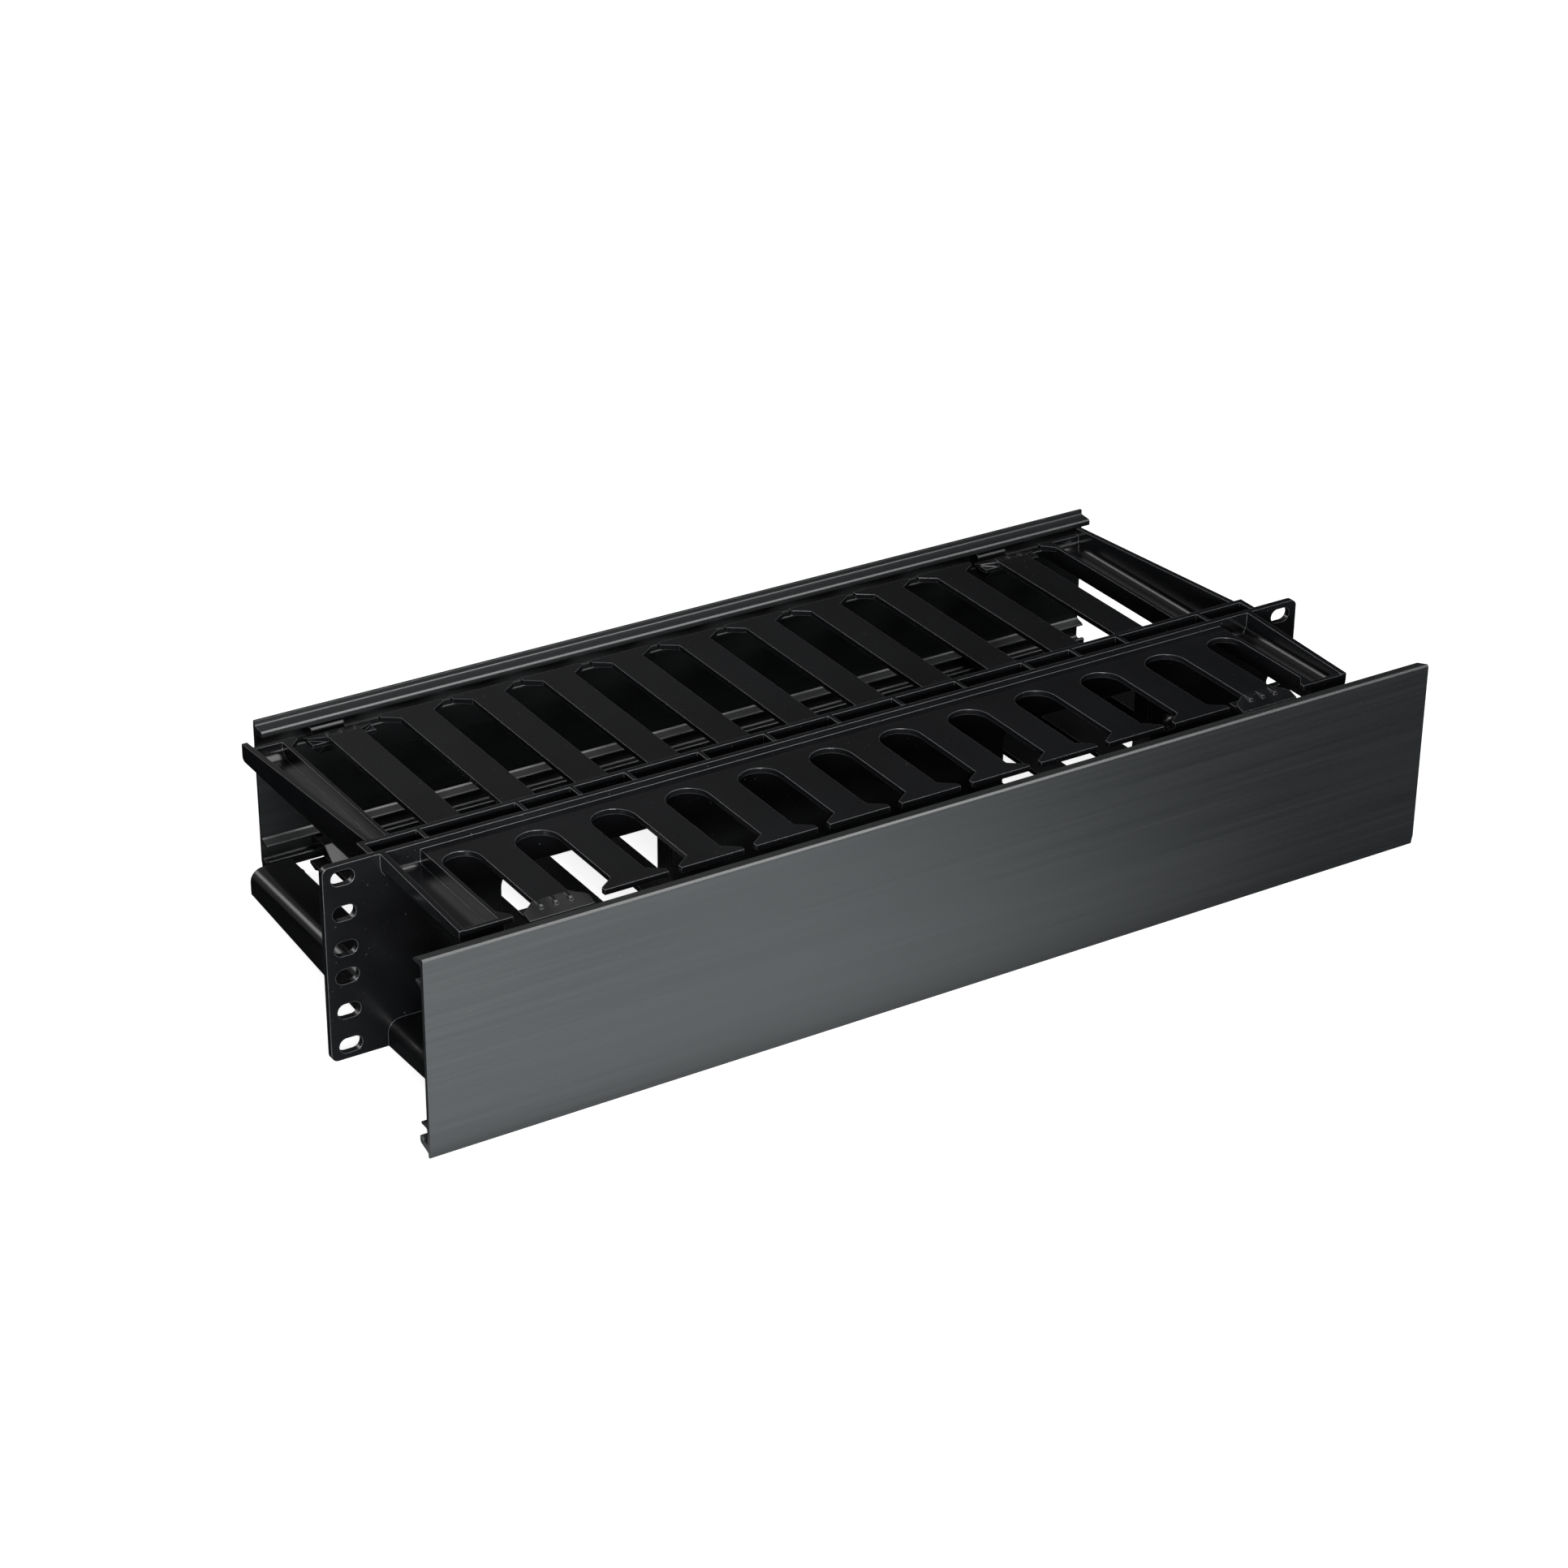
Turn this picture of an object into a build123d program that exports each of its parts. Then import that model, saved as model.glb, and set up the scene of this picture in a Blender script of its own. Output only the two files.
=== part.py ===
"""Horizontal cable manager for a 19 inch rack, two rack units high.

Two moulded bases stand back to back, each with an upper and a lower row of
T-tipped fingers, and each duct is closed by an extruded cover that hooks on
the finger tips. X runs along the rack width, Y to the rear and Z up. The
origin is the middle of the rack slots, on the face that meets the rack rail.
"""
import os

from build123d import *

os.makedirs("parts", exist_ok=True)

# Rack standard
rack_width = 482.6
slot_inset = 8.75
slot_spacing = rack_width - 2 * slot_inset
short_step = 12.7
long_step = 15.875
slot_length = 10.3
slot_width = 6.8

# Rack plate
panel_height = 88.1
plate_thick = 3.0
corner_radius = 3.0
ear_width = 21.4

# Pass-through windows
window_width = 80.0
window_height = 42.8
window_radius = 8.0
window_centre = 123.0
jamb_thick = 2.0

# Channel between the two bases, seated in a shallow rebate in the back of the plate
body_width = rack_width - 2 * ear_width
rebate_depth = 0.4
rebate_clear = 0.1
channel_depth = 7.3
wall_thick = 2.5
rib_thick = 1.8
rib_step = 32.0
window_rib_shift = 1.2
window_rib_step = 25.3
end_rib_inset = 25.9

# Fingers
gap_count = 12
duct_inset = 3.9
duct_width = body_width - 2 * duct_inset
finger_thick = 2.4
arm_chamfer = 5.0
arm_end = 2.4
front_level = 41.1
front_end_margin = 9.0
front_pitch = (duct_width - 2 * front_end_margin) / gap_count
front_neck = 15.3
front_tip_gap = 5.7
front_shelf = 9.0
front_reach = 66.2
rear_level = 33.0
rear_end_margin = 9.6
rear_pitch = (duct_width - 2 * rear_end_margin) / gap_count
rear_neck = 15.5
rear_tip_gap = 4.8
rear_reach = 116.0

# Gutters, which are the end fingers
gutter_width = 19.4
gutter_depth = 6.5
ridge_thick = 1.8
floor_thick = 2.2
curb_thick = 2.5
gutter_round = 6.0
lip_thick = 2.0
scoop_round = 5.0
heel_round = 2.0
front_curb_rise = 0.3
rear_curb_rise = 3.0

# Knuckle fingers, one in from each end finger
knuckle_extra = 2.4
ramp_length = 9.5
ramp_drop = 2.8
fin_count = 3
fin_pitch = 6.5
fin_thick = 1.6
fin_length = 3.2
fin_nose = 2.0
pad_thick = 1.2

# Covers
cover_wall = 2.0
cover_bevel = 0.9
flange_reach = 8.2
flange_thick = 3.3
inner_reach = 6.4
inner_thick = 2.1
mouth_height = 7.6
barb_rise = 1.6
round_over = 0.7
plain_fall = 2.0
front_lip = 2.0
front_lip_fall = 1.5
rear_lip = 2.2
rear_lip_fall = 0.4
face_bend = 3.9
front_cover_overhang = 2.7
front_cover_height = 88.1
front_cover_gap = 16.5
front_cover_shift = 4.0
rear_cover_inset = 0.5
rear_cover_height = 72.0
rear_cover_gap = 18.0
rear_cover_shift = 13.0

# Hinge and latch clearances
hinge_clear = 0.4
sweep_clear = 0.9
latch_clear = 0.7
neck_thick = 3.0

# Joining screws
end_screw_finger = 5
inner_screw_finger = 2
screw_size = 4.0
screw_length = 8.4
screw_clear = 0.1
head_size = 7.6
head_height = 2.2
head_bevel = 0.8
boss_size = 8.4
drive_length = 4.4
drive_width = 1.0
drive_depth = 1.3

# Places worked out from the sizes above
front_face = -plate_thick
channel_back = channel_depth
rear_face = channel_back + wall_thick
panel_top = panel_height / 2
front_tip = front_face - front_reach
rear_tip = rear_face + rear_reach
front_cover_face = front_tip - front_cover_gap
rear_cover_face = rear_tip + rear_cover_gap
knuckle_finger = gap_count / 2 - 1
gutter_inner = duct_width / 2 - gutter_width
front_cover_length = rack_width + 2 * front_cover_overhang
rear_cover_length = duct_width - 2 * rear_cover_inset
barrel_radius = mouth_height / 2 - hinge_clear
barrel_depth = cover_wall + hinge_clear + barrel_radius
mouth_middle = flange_thick + mouth_height / 2
front_hinge_z = front_cover_height / 2 - mouth_middle
front_latch_z = front_cover_height / 2 - front_lip - mouth_middle
rear_hinge_z = rear_cover_height / 2 - rear_lip - mouth_middle
slot_heights = [short_step / 2 + long_step * step for step in range(3)]
slot_heights = slot_heights + [-height for height in slot_heights]
window_ribs = [window_centre + window_rib_shift + step * window_rib_step for step in (-1, 0, 1)]
rib_places = [0, rib_step, 2 * rib_step, *window_ribs, body_width / 2 - end_rib_inset]
screw_places = (end_screw_finger * front_pitch, inner_screw_finger * front_pitch)


def window_holes():
    """Cut the round-cornered windows that cables pass through from duct to duct."""
    with Locations((-window_centre, 0), (window_centre, 0)):
        RectangleRounded(window_width, window_height, window_radius, mode=Mode.SUBTRACT)


def gap_shape(left, right, tip_gap, root, tip, round_root):
    """One gap between two T-tipped fingers, from its root to just past the tips."""
    outward = 1 if tip > root else -1
    start = root + outward * (right - left) / 2 if round_root else root
    arm_start = tip - outward * (arm_end + arm_chamfer)
    arm_corner = tip - outward * arm_end
    with BuildSketch() as gap:
        with BuildLine():
            Polyline(
                (left, start),
                (left, arm_start),
                (-tip_gap / 2, arm_corner),
                (-tip_gap / 2, tip + outward),
                (tip_gap / 2, tip + outward),
                (tip_gap / 2, arm_corner),
                (right, arm_start),
                (right, start),
                close=True,
            )
        make_face()
        if round_root:
            with Locations(((left + right) / 2, start)):
                Circle((right - left) / 2)
    return gap.sketch


def gutter(face, tip, level, curb_rise):
    """Right end finger: a gutter with a thin ridge, a curved outer curb and a lip at its tip."""
    outward = 1 if tip > face else -1
    outer = duct_width / 2
    inner_curb = outer - curb_thick
    floor = level - gutter_depth
    under = floor - floor_thick
    cove = gutter_round - floor_thick
    tall = panel_top + 1
    lip = tip - outward * lip_thick
    with BuildPart() as trough:
        with BuildSketch(Plane.XZ.offset(-face)):
            with BuildLine():
                Polyline(
                    (outer, under + gutter_round),
                    (outer, panel_top),
                    (gutter_inner, panel_top),
                    (gutter_inner, under),
                    (outer - gutter_round, under),
                )
                CenterArc((outer - gutter_round, under + gutter_round), gutter_round, -90, 90)
            make_face()
        extrude(amount=-outward * abs(tip - face))
    with BuildPart() as hollow:
        with BuildSketch(Plane.XZ.offset(-face)):
            with BuildLine():
                Polyline(
                    (inner_curb, floor + cove),
                    (inner_curb, tall),
                    (gutter_inner + ridge_thick, tall),
                    (gutter_inner + ridge_thick, floor),
                    (inner_curb - cove, floor),
                )
                CenterArc((inner_curb - cove, floor + cove), cove, -90, 90)
            make_face()
        extrude(amount=-outward * abs(tip - face))
        with BuildSketch(Plane.YZ.offset(gutter_inner)):
            with BuildLine():
                heel = Line((face, tall), (face, floor + heel_round))
                sole = TangentArc(heel @ 1, (face + outward * heel_round, floor), tangent=(0, -1))
                bed = Line(sole @ 1, (lip - outward * scoop_round, floor))
                scoop = TangentArc(bed @ 1, (lip, floor + scoop_round), tangent=(outward, 0))
                Polyline(scoop @ 1, (lip, tall), (face, tall))
            make_face()
        extrude(amount=gutter_width, mode=Mode.INTERSECT)
    with BuildPart() as end_finger:
        add(trough.part)
        add(hollow.part, mode=Mode.SUBTRACT)
        with BuildSketch(Plane.XZ.offset(-face)):
            with Locations((gutter_inner - 1, level)):
                Rectangle(inner_curb - gutter_inner + 1, tall, align=(Align.MIN, Align.MIN))
        extrude(amount=-outward * abs(tip - face), mode=Mode.SUBTRACT)
        with BuildSketch(Plane.YZ):
            with BuildLine():
                Polyline(
                    (face, panel_top),
                    (tip, level + curb_rise),
                    (tip, tall),
                    (face, tall),
                    close=True,
                )
            make_face()
        extrude(amount=rack_width, mode=Mode.SUBTRACT)
    return end_finger.part


def hinge_profile(axis_y, axis_z, tip, level):
    """Side view of the barrel, and of the neck that carries it under a finger tip."""
    outward = 1 if axis_y > tip else -1
    reach = abs(axis_y - tip)
    under = level - finger_thick - axis_z
    tip_top = level - ramp_drop - axis_z
    arm_top = barrel_depth - flange_reach - sweep_clear
    arm_low = arm_top - neck_thick
    neck_back = barrel_radius * 0.4
    points = (
        (neck_back, -barrel_radius * 0.7),
        (neck_back, arm_low + round_over),
        (neck_back + round_over, arm_low),
        (reach - round_over, arm_low),
        (reach + ramp_length, under),
        (reach + ramp_length, under + finger_thick / 3),
        (reach, tip_top),
        (reach, arm_top),
        (barrel_radius, arm_top),
        (barrel_radius * 0.7, -barrel_radius * 0.65),
    )
    with BuildSketch() as side:
        with BuildLine():
            Polyline(*[(axis_y - outward * back, axis_z + up) for back, up in points], close=True)
        make_face()
        with Locations((axis_y, axis_z)):
            Circle(barrel_radius)
    return side.sketch


def latch_profile(axis_y, axis_z, tip, level):
    """Side view of the tongue that the snap edge of a cover slides over."""
    outward = 1 if axis_y > tip else -1
    reach = abs(axis_y - tip)
    under = level - finger_thick - axis_z
    tip_top = level - ramp_drop - axis_z
    nose = -barrel_radius + latch_clear - hinge_clear
    low = -mouth_height / 2 + latch_clear
    high = mouth_height / 2 - barb_rise - latch_clear
    points = (
        (nose + round_over, low),
        (reach, low),
        (reach + ramp_length, under),
        (reach + ramp_length, under + finger_thick / 3),
        (reach, tip_top),
        (reach - abs(tip_top - high), high),
        (nose + round_over, high),
        (nose, high - round_over),
        (nose, low + round_over),
    )
    with BuildSketch() as side:
        with BuildLine():
            Polyline(*[(axis_y - outward * back, axis_z + up) for back, up in points], close=True)
        make_face()
    return side.sketch


def fin_profile(tip, level, outward):
    """Side view of one fin on the sloping tip of a knuckle finger."""
    back = tip - outward * ramp_length
    front = back + outward * fin_length
    with BuildSketch() as side:
        with BuildLine():
            Polyline(
                (front + outward * fin_nose, level - fin_nose),
                (front + outward * fin_nose, level - ramp_drop),
                (back, level - ramp_drop),
                (back, level),
                (front, level),
            )
            RadiusArc((front, level), (front + outward * fin_nose, level - fin_nose), outward * fin_nose)
        make_face()
    return side.sketch


def finger_row(face, tip, level, pitch, neck, tip_gap, root, round_root, curb_rise, knuckle):
    """Upper row of fingers with its end gutters and its two knuckle fingers."""
    outward = 1 if tip > face else -1
    knuckle_tip = tip + outward * knuckle_extra
    arm_width = pitch - tip_gap
    ramp_back = knuckle_tip - outward * ramp_length
    half_gap = (pitch - neck) / 2
    end_gap_middle = (gap_count - 1) / 2 * pitch
    end_gap_edge = gutter_inner - end_gap_middle
    gap = gap_shape(-half_gap, half_gap, tip_gap, root, tip, round_root)
    right_gap = gap_shape(-half_gap, end_gap_edge, tip_gap, root, tip, round_root)
    left_gap = gap_shape(-end_gap_edge, half_gap, tip_gap, root, tip, round_root)
    fin = fin_profile(knuckle_tip, level, outward)
    end_finger = gutter(face, tip, level, curb_rise)
    with BuildPart() as row:
        with BuildSketch(Plane.XY.offset(level - finger_thick)):
            with Locations((0, (face + tip) / 2)):
                Rectangle(2 * (gutter_inner + ridge_thick), abs(tip - face))
            with GridLocations(pitch, 1, gap_count - 2, 1):
                add(gap, mode=Mode.SUBTRACT)
            with Locations((end_gap_middle, 0)):
                add(right_gap, mode=Mode.SUBTRACT)
            with Locations((-end_gap_middle, 0)):
                add(left_gap, mode=Mode.SUBTRACT)
            with Locations(*[(side * knuckle_finger * pitch, (tip + knuckle_tip) / 2) for side in (-1, 1)]):
                Rectangle(arm_width, knuckle_extra)
        extrude(amount=finger_thick)
        for side in (-1, 1):
            middle = side * knuckle_finger * pitch
            with BuildSketch(Plane.XY.offset(level - ramp_drop - pad_thick)):
                with Locations((middle, (ramp_back + knuckle_tip) / 2)):
                    Rectangle(arm_width, ramp_length)
            extrude(amount=ramp_drop + pad_thick - finger_thick)
            with BuildSketch(Plane.YZ.offset(middle)):
                with BuildLine():
                    Polyline(
                        (ramp_back, level),
                        (knuckle_tip, level - ramp_drop),
                        (knuckle_tip + outward, level - ramp_drop),
                        (knuckle_tip + outward, level + 1),
                        (ramp_back, level + 1),
                        close=True,
                    )
                make_face()
            extrude(amount=arm_width / 2 + 1, both=True, mode=Mode.SUBTRACT)
            for place in range(fin_count):
                shift = (place - (fin_count - 1) / 2) * fin_pitch
                with BuildSketch(Plane.YZ.offset(middle + shift)):
                    add(fin)
                extrude(amount=fin_thick / 2, both=True)
            with BuildSketch(Plane.YZ.offset(middle)):
                add(knuckle)
            extrude(amount=neck / 2, both=True)
        add(end_finger)
        mirror(end_finger, about=Plane.YZ)
    return row.part


def hook(lip, fall, barb, bevel):
    """Edge of a cover as depth and height from its corner: outer flange, mouth, inner flange."""
    mouth_top = lip + flange_thick
    mouth_end = mouth_top + mouth_height
    if lip:
        corner = [
            (bevel, lip + round_over),
            (bevel + round_over / 2, 0),
            (cover_wall - round_over / 2, 0),
            (cover_wall - round_over / 2, lip - round_over / 2),
            (cover_wall, lip),
        ]
    else:
        corner = [(0, bevel), (bevel, 0)]
    outer = [
        (flange_reach - round_over, lip + fall),
        (flange_reach, lip + fall + round_over),
        (flange_reach, mouth_top + barb - round_over / 2),
        (flange_reach - round_over / 2, mouth_top + barb),
        (flange_reach - round_over - barb / 2, mouth_top + barb),
        (flange_reach - round_over - 1.2 * barb, mouth_top),
    ]
    if not barb:
        outer.pop()
    mouth = [
        (cover_wall + round_over, mouth_top),
        (cover_wall, mouth_top + round_over),
        (cover_wall, mouth_end - round_over),
        (cover_wall + round_over, mouth_end),
    ]
    inner = [
        (inner_reach, mouth_end),
        (inner_reach + round_over / 2, mouth_end + inner_thick / 4),
        (inner_reach, mouth_end + inner_thick / 2),
        (cover_wall + round_over, mouth_end + inner_thick),
        (cover_wall, mouth_end + inner_thick + round_over),
    ]
    return corner + outer + mouth + inner


def cover_profile(face, height, upper, lower):
    """Section of a cover, given its outer face, its height and its two hooked edges."""
    inward = 1 if face < 0 else -1
    top = height / 2
    points = [(face + inward * depth, top - down) for depth, down in upper]
    points += [(face + inward * depth, down - top) for depth, down in reversed(lower)]
    points.append((face, face_bend - top))
    with BuildSketch() as section:
        with BuildLine():
            Polyline(*points, close=True)
        make_face()
    return section.sketch


front_hinge = hinge_profile(front_cover_face + barrel_depth, front_hinge_z, front_tip - knuckle_extra, front_level)
front_latch = latch_profile(front_cover_face + barrel_depth, front_latch_z, front_tip - knuckle_extra, front_level)
rear_hinge = hinge_profile(rear_cover_face - barrel_depth, rear_hinge_z, rear_tip + knuckle_extra, rear_level)
rear_latch = latch_profile(rear_cover_face - barrel_depth, rear_hinge_z, rear_tip + knuckle_extra, rear_level)

front_root = front_face - front_shelf
front_places = (front_face, front_tip, front_level)
front_shape = (front_pitch, front_neck, front_tip_gap, front_root, True, front_curb_rise)
rear_places = (rear_face, rear_tip, rear_level)
rear_shape = (rear_pitch, rear_neck, rear_tip_gap, rear_face, False, rear_curb_rise)
front_upper_row = finger_row(*front_places, *front_shape, front_hinge)
front_lower_row = mirror(finger_row(*front_places, *front_shape, front_latch), about=Plane.XY)
rear_upper_row = finger_row(*rear_places, *rear_shape, rear_hinge)
rear_lower_row = mirror(finger_row(*rear_places, *rear_shape, rear_latch), about=Plane.XY)
screw_points = [(side * place, 0) for place in screw_places for side in (-1, 1)]

# Front base: rack plate and front fingers
with BuildPart() as front_base:
    with BuildSketch(Plane.XZ):
        RectangleRounded(rack_width, panel_height, corner_radius)
        window_holes()
        with Locations(*[(side * slot_spacing / 2, height) for side in (-1, 1) for height in slot_heights]):
            SlotOverall(slot_length, slot_width, mode=Mode.SUBTRACT)
        with Locations(*screw_points):
            Circle(screw_size / 2 + screw_clear, mode=Mode.SUBTRACT)
    extrude(amount=plate_thick)
    with BuildSketch(Plane.XZ):
        Rectangle(body_width + 2 * rebate_clear, panel_height)
    extrude(amount=rebate_depth, mode=Mode.SUBTRACT)
    add(front_upper_row)
    add(front_lower_row)

# Rear base: channel, rear wall and rear fingers
with BuildPart() as rear_base:
    with BuildSketch(Plane.XZ.offset(-channel_back)):
        Rectangle(body_width, panel_height)
        window_holes()
    extrude(amount=-wall_thick)
    with BuildSketch(Plane.XZ.offset(rebate_depth)):
        with Locations(*[(side * place, 0) for place in rib_places for side in (-1, 1)]):
            Rectangle(rib_thick, panel_height)
        with Locations(*[(side * (body_width - wall_thick) / 2, 0) for side in (-1, 1)]):
            Rectangle(wall_thick, panel_height)
        with Locations((-window_centre, 0), (window_centre, 0)):
            RectangleRounded(window_width + 2 * jamb_thick, window_height + 2 * jamb_thick,
                             window_radius + jamb_thick)
        window_holes()
        with Locations(*screw_points):
            Circle(boss_size / 2)
            Circle(screw_size / 2 + screw_clear, mode=Mode.SUBTRACT)
    extrude(amount=-channel_depth - rebate_depth)
    add(rear_upper_row)
    add(rear_lower_row)

# Front cover
with BuildPart() as front_cover:
    plain_edge = hook(0, plain_fall, 0, cover_bevel)
    snap_edge = hook(front_lip, front_lip_fall, barb_rise, round_over / 2)
    with BuildSketch(Plane.YZ.offset(front_cover_shift)):
        add(cover_profile(front_cover_face, front_cover_height, plain_edge, snap_edge))
    extrude(amount=front_cover_length / 2, both=True)

# Rear cover
with BuildPart() as rear_cover:
    hinge_edge = hook(rear_lip, rear_lip_fall, 0, 0)
    snap_edge = hook(rear_lip, rear_lip_fall, barb_rise, round_over / 2)
    with BuildSketch(Plane.YZ.offset(rear_cover_shift)):
        add(cover_profile(rear_cover_face, rear_cover_height, hinge_edge, snap_edge))
    extrude(amount=rear_cover_length / 2, both=True)

# Screws that join the two bases
with BuildPart() as joining_screws:
    with BuildSketch(Plane.XZ.offset(plate_thick)):
        with Locations(*screw_points):
            Circle(head_size / 2)
    extrude(amount=head_height)
    crowns = joining_screws.edges().filter_by(GeomType.CIRCLE).group_by(Axis.Y)[0]
    chamfer(crowns, head_bevel)
    with BuildSketch(Plane.XZ.offset(plate_thick)):
        with Locations(*screw_points):
            Circle(screw_size / 2)
    extrude(amount=-screw_length)
    with BuildSketch(Plane.XZ.offset(plate_thick + head_height - drive_depth)):
        with Locations(*screw_points):
            Rectangle(drive_length, drive_width)
            Rectangle(drive_width, drive_length)
    extrude(amount=drive_depth, mode=Mode.SUBTRACT)

pieces = {
    "front_base": front_base,
    "rear_base": rear_base,
    "front_cover": front_cover,
    "rear_cover": rear_cover,
    "joining_screws": joining_screws,
}
for name, piece in pieces.items():
    piece.part.label = name
    export_step(piece.part, f"parts/{name}.step")
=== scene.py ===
"""Studio picture of a horizontal cable manager, in black moulded and extruded plastic.

Lengths are in metres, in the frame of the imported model: X along the rack, Y to the rear, Z up.
"""
import math

import bpy
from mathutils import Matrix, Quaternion, Vector


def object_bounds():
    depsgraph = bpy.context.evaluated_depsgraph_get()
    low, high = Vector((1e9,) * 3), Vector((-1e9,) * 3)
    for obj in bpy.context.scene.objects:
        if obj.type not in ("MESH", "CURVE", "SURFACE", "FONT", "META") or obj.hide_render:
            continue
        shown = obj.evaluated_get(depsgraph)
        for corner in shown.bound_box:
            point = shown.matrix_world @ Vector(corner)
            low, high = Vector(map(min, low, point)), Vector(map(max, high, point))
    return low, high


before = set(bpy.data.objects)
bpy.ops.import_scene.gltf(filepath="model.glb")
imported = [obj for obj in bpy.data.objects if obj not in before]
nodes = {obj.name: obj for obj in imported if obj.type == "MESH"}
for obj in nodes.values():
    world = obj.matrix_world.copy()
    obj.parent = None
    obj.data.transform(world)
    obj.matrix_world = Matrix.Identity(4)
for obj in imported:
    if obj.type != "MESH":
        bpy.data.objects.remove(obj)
cad_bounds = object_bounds()

# Camera
camera_place = Vector((-0.7893, -1.2088, 0.7732))
camera_heading = math.radians(32.230)
camera_drop = math.radians(27.723)
camera_roll = math.radians(0.48)
lens = 88.63
sensor = 36.0
clip_near = 0.05
clip_far = 60.0

# Floor
floor_reach = 14.0
floor_level = cad_bounds[0].z - 0.0002
floor_grey = 0.35
floor_shine = 0.88

# Pool of light that only reflections show on the floor
pool_tint = (0.93, 0.98, 1.0)
pool_middle = (-0.28, -0.30, floor_level)
pool_core = 0.26
pool_reach = 0.54
pool_dim = 0.03
pool_front = -0.115
pool_back = -0.055

# Light from all round
glow_heading = (-0.8, 0.6, 0.0)
glow_start = -0.10
glow_end = 0.40
glow_dim = 0.01
glow_bright = 0.22

# Rounded edges, and the painted highlight along them
rounded_until = 0.80
flat_from = 0.97
bevel_samples = 6

white = (1.0, 1.0, 1.0)


class Nodes:
    """Short way to add and wire shader nodes in one tree."""

    def __init__(self, tree):
        self.tree = tree
        tree.nodes.clear()

    def add(self, kind, inputs=None, **settings):
        """Add a node, with its settings and the values or links of its inputs."""
        node = self.tree.nodes.new(kind)
        for name, value in settings.items():
            setattr(node, name, value)
        for name, value in (inputs or {}).items():
            if isinstance(value, bpy.types.NodeSocket):
                self.tree.links.new(value, node.inputs[name])
            else:
                node.inputs[name].default_value = value
        return node

    def stretched(self, scale):
        """Object coordinates stretched by a scale for each axis."""
        place = self.add("ShaderNodeTexCoord")
        return self.add("ShaderNodeMapping", {"Vector": place.outputs["Object"], "Scale": scale}).outputs[0]

    def noise(self, vector, scale, detail=3.0, roughness=0.5):
        """Noise between 0 and 1 over the given coordinates."""
        wanted = {"Vector": vector, "Scale": scale, "Detail": detail, "Roughness": roughness}
        return self.add("ShaderNodeTexNoise", wanted).outputs["Fac"]

    def span(self, value, low, high, start=0.3, end=0.7, curve="LINEAR"):
        """A value that goes from low to high while the given one goes from start to end."""
        wanted = {"Value": value, "From Min": start, "From Max": end, "To Min": low, "To Max": high}
        return self.add("ShaderNodeMapRange", wanted, interpolation_type=curve).outputs[0]

    def combined(self, operation, first, second):
        """Number that an operation gives from two numbers."""
        return self.add("ShaderNodeMath", {0: first, 1: second}, operation=operation).outputs[0]

    def vector_value(self, operation, first, second):
        """Number that an operation gives from two vectors."""
        node = self.add("ShaderNodeVectorMath", {0: first, 1: second}, operation=operation)
        return node.outputs["Value"]

    def blend(self, factor, first, second):
        """Mix of two colours."""
        mix = self.add("ShaderNodeMix", {0: factor}, data_type="RGBA")
        for socket, colour in ((6, first), (7, second)):
            if isinstance(colour, bpy.types.NodeSocket):
                self.tree.links.new(colour, mix.inputs[socket])
            else:
                mix.inputs[socket].default_value = (*colour, 1.0)
        return mix.outputs[2]

    def round_edges(self, radius):
        """Normal that rounds every sharp edge by a small radius."""
        return self.add("ShaderNodeBevel", {"Radius": radius}, samples=bevel_samples).outputs[0]

    def painted_edge_highlight(self, rounded):
        """Mask of the painted edge highlight: 1 on the rounded part of an edge and 0 on the faces beside
        it.
        """
        flat = self.add("ShaderNodeNewGeometry").outputs["True Normal"]
        alike = self.vector_value("DOT_PRODUCT", rounded, flat)
        return self.span(alike, 1.0, 0.0, rounded_until, flat_from)

    def bump(self, height, distance, normal):
        """Normal raised by a height."""
        wanted = {"Height": height, "Distance": distance, "Strength": 1.0, "Normal": normal}
        return self.add("ShaderNodeBump", wanted).outputs[0]

    def light(self, kind, colour, strength):
        """Shader of a light that a surface or the world gives off."""
        return self.add(kind, {"Color": (*colour, 1.0), "Strength": strength}).outputs[0]

    def either(self, share, first, second):
        """Mix of two shaders."""
        return self.add("ShaderNodeMixShader", {0: share, 1: first, 2: second}).outputs[0]


def new_material(name):
    """An empty node material and its node helper."""
    material = bpy.data.materials.new(name)
    material.use_nodes = True
    return material, Nodes(material.node_tree)


def finish_material(tree, inputs):
    """Join a principled shader with the given inputs to the material's output."""
    shader = tree.add("ShaderNodeBsdfPrincipled", inputs)
    tree.add("ShaderNodeOutputMaterial", {"Surface": shader.outputs[0]})


def moulded_plastic():
    """Black moulded plastic: satin, with flow marks, a fine grain, a painted highlight on its rounded edges
    and a few dust specks.
    """
    material, tree = new_material("moulded_plastic")
    plain = tree.stretched((1.0, 1.0, 1.0))
    along_fingers = tree.stretched((1.0, 0.12, 1.0))
    flow = tree.noise(along_fingers, 90.0, 4.0)
    cloud = tree.noise(plain, 18.0, 3.0)
    grain = tree.noise(plain, 2600.0, 2.0)
    dust = tree.span(tree.noise(plain, 900.0, 1.0), 0.0, 1.0, 0.76, 0.80)
    tone = tree.blend(tree.span(cloud, 0.0, 1.0), (0.0030, 0.0032, 0.0036), (0.0056, 0.0060, 0.0068))
    rounded = tree.round_edges(0.0006)
    # Painted highlight: the base colour is lighter on the rounded edges
    tone = tree.blend(tree.painted_edge_highlight(rounded), tone, (0.090, 0.093, 0.098))
    waves = tree.bump(flow, 0.00002, rounded)
    finish_material(tree, {
        "Base Color": tree.blend(dust, tone, (0.05, 0.05, 0.05)),
        "Roughness": tree.span(flow, 0.17, 0.25),
        "Normal": tree.bump(grain, 0.000006, waves),
        "IOR": 1.49,
    })
    return material


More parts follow.
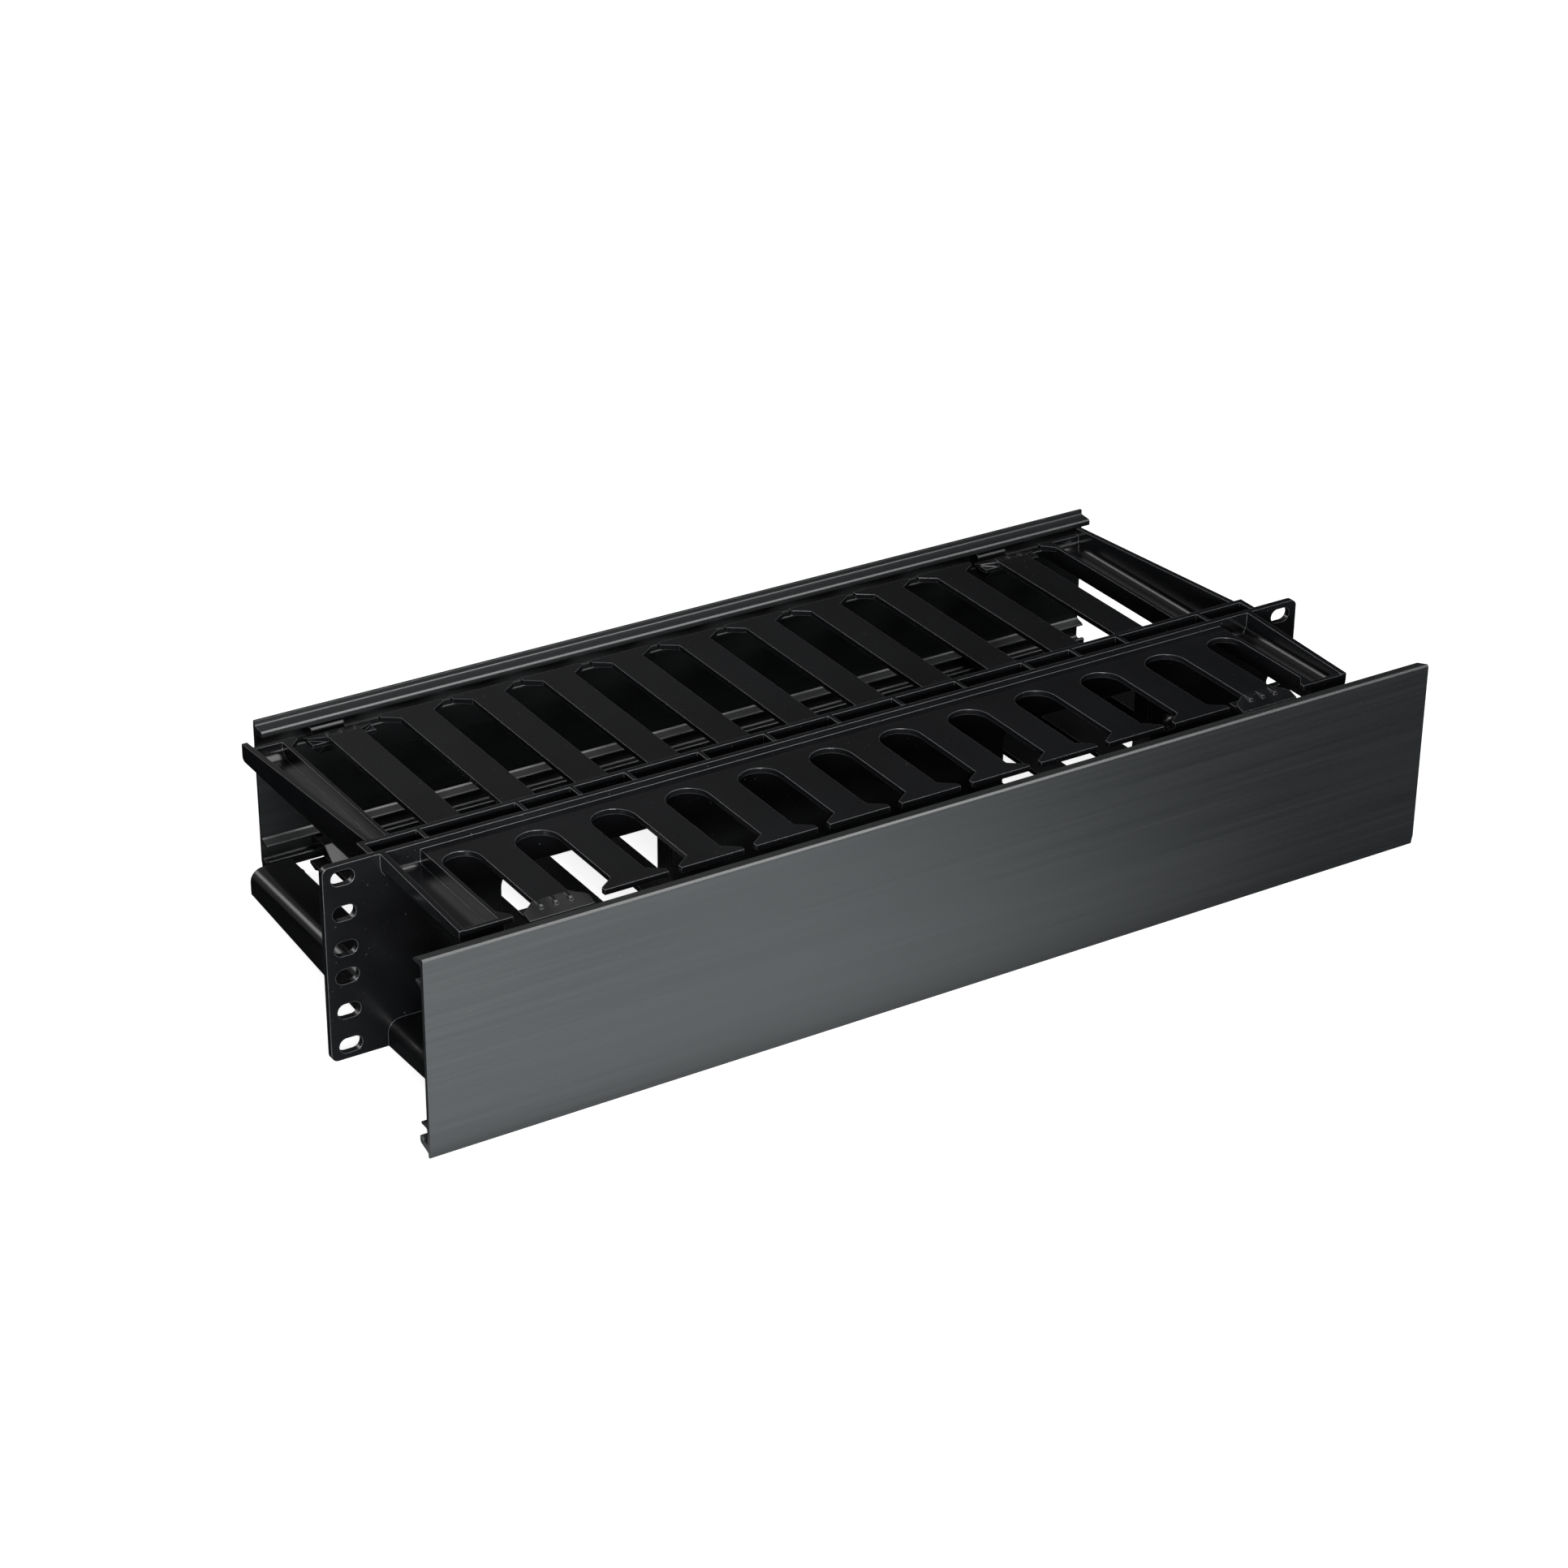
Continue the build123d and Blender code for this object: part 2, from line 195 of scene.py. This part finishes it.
def extruded_plastic():
    """Black extruded plastic: satin, with faint streaks along its length."""
    material, tree = new_material("extruded_plastic")
    plain = tree.stretched((1.0, 1.0, 1.0))
    lengthwise = tree.stretched((0.012, 1.0, 1.0))
    streaks = tree.noise(lengthwise, 420.0, 5.0, 0.6)
    bands = tree.noise(lengthwise, 60.0, 2.0)
    cloud = tree.noise(plain, 9.0, 2.0)
    grain = tree.noise(plain, 2200.0, 2.0)
    dust = tree.span(tree.noise(plain, 700.0, 1.0), 0.0, 1.0, 0.78, 0.82)
    tone = tree.blend(tree.span(bands, 0.0, 1.0), (0.0080, 0.0090, 0.0098), (0.0105, 0.0118, 0.0127))
    tone = tree.blend(tree.span(streaks, 0.0, 0.5), tone, (0.0150, 0.0166, 0.0178))
    drawn = tree.bump(streaks, 0.00002, tree.round_edges(0.0005))
    finish_material(tree, {
        "Base Color": tree.blend(dust, tone, (0.07, 0.07, 0.07)),
        "Roughness": tree.combined("ADD", tree.span(streaks, 0.27, 0.39), tree.span(cloud, -0.02, 0.02)),
        "Normal": tree.bump(grain, 0.000008, drawn),
        "IOR": 1.5,
        "Specular IOR Level": 1.0,
    })
    return material


def blackened_steel():
    """Blackened steel of the screws, worn brighter in patches."""
    material, tree = new_material("blackened_steel")
    plain = tree.stretched((1.0, 1.0, 1.0))
    wear = tree.noise(plain, 700.0, 4.0)
    worn = tree.span(wear, 0.0, 1.0, 0.4, 0.75)
    finish_material(tree, {
        "Base Color": tree.blend(worn, (0.06, 0.06, 0.065), (0.22, 0.22, 0.23)),
        "Metallic": 0.9,
        "Roughness": tree.span(wear, 0.30, 0.48),
        "Normal": tree.bump(wear, 0.00002, tree.round_edges(0.00025)),
    })
    return material


def dress(material, *names):
    """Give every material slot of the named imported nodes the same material."""
    for name in names:
        mesh = nodes[name].data
        mesh.materials.clear()
        mesh.materials.append(material)


def pool_of_light(tree):
    """Brightness of the floor in reflections: white in front at the left, dim elsewhere."""
    place = tree.add("ShaderNodeTexCoord").outputs["Object"]
    away = tree.vector_value("DISTANCE", place, pool_middle)
    depth = tree.add("ShaderNodeSeparateXYZ", {0: place}).outputs["Y"]
    round_pool = tree.span(away, 1.0, pool_dim, pool_core, pool_reach, "SMOOTHSTEP")
    front_part = tree.span(depth, 1.0, pool_dim, pool_front, pool_back, "SMOOTHSTEP")
    return tree.combined("MULTIPLY", round_pool, front_part)


def white_floor():
    """White floor that keeps a faint shadow."""
    material, tree = new_material("floor_white")
    rays = tree.add("ShaderNodeLightPath").outputs
    direct = tree.combined("MAXIMUM", rays["Is Camera Ray"], rays["Is Transmission Ray"])
    lit = tree.add("ShaderNodeBsdfDiffuse", {"Color": (floor_grey, floor_grey, floor_grey, 1.0)}).outputs[0]
    shine = tree.light("ShaderNodeEmission", white, floor_shine)
    seen = tree.add("ShaderNodeAddShader", {0: shine, 1: lit}).outputs[0]
    pool = tree.light("ShaderNodeEmission", pool_tint, pool_of_light(tree))
    far = tree.either(rays["Is Glossy Ray"], lit, pool)
    tree.add("ShaderNodeOutputMaterial", {"Surface": tree.either(direct, far, seen)})
    mesh = bpy.data.meshes.new("floor")
    signs = ((-1, -1), (1, -1), (1, 1), (-1, 1))
    corners = [(x * floor_reach, y * floor_reach, floor_level) for x, y in signs]
    mesh.from_pydata(corners, [], [(0, 1, 2, 3)])
    mesh.materials.append(material)
    floor = bpy.data.objects.new("floor", mesh)
    bpy.context.scene.collection.objects.link(floor)


def softbox(name, place, target, width, height, power):
    """Rectangular lamp at a place, turned to a target."""
    lamp = bpy.data.lights.new(name, "AREA")
    lamp.shape = "RECTANGLE"
    lamp.size = width
    lamp.size_y = height
    lamp.energy = power
    thing = bpy.data.objects.new(name, lamp)
    thing.location = place
    thing.rotation_mode = "QUATERNION"
    thing.rotation_quaternion = (Vector(target) - Vector(place)).to_track_quat("-Z", "Y")
    bpy.context.scene.collection.objects.link(thing)


def studio_world():
    """Dim light from all round, brighter behind at the left, white where the camera sees it."""
    world = bpy.data.worlds.new("studio")
    bpy.context.scene.world = world
    world.use_nodes = True
    tree = Nodes(world.node_tree)
    seen = tree.add("ShaderNodeLightPath").outputs["Is Camera Ray"]
    heading = tree.add("ShaderNodeTexCoord").outputs["Generated"]
    across = tree.vector_value("DOT_PRODUCT", heading, glow_heading)
    glow = tree.span(across, glow_dim, glow_bright, glow_start, glow_end, "SMOOTHSTEP")
    around = tree.light("ShaderNodeBackground", white, glow)
    behind = tree.light("ShaderNodeBackground", white, 1.0)
    tree.add("ShaderNodeOutputWorld", {"Surface": tree.either(seen, around, behind)})


def matched_camera():
    """Camera at the photograph's place, heading and lens."""
    forward = Vector((
        math.sin(camera_heading) * math.cos(camera_drop),
        math.cos(camera_heading) * math.cos(camera_drop),
        -math.sin(camera_drop),
    ))
    data = bpy.data.cameras.new("camera")
    data.lens = lens
    data.sensor_width = sensor
    data.clip_start = clip_near
    data.clip_end = clip_far
    camera = bpy.data.objects.new("camera", data)
    camera.location = camera_place
    camera.rotation_mode = "QUATERNION"
    camera.rotation_quaternion = forward.to_track_quat("-Z", "Y") @ Quaternion((0.0, 0.0, 1.0), camera_roll)
    bpy.context.scene.collection.objects.link(camera)
    bpy.context.scene.camera = camera


dress(moulded_plastic(), "front_base", "rear_base")
dress(extruded_plastic(), "front_cover", "rear_cover")
dress(blackened_steel(), "joining_screws")

matched_camera()
studio_world()
white_floor()
softbox("overhead", (0.25, -0.15, 1.5), (0.0, 0.0, 0.0), 1.3, 0.9, 14.0)
softbox("front_right", (0.70, -0.75, 1.25), (0.0, -0.05, 0.0), 0.9, 0.7, 8.0)
softbox("front_left", (-0.42, -0.82, 0.16), (-0.20, -0.08, 0.0), 0.45, 0.28, 19.0)
softbox("back_left", (-0.95, 1.30, 0.90), (0.0, 0.0, 0.0), 0.7, 0.5, 4.0)

bpy.context.scene.view_settings.view_transform = "Standard"
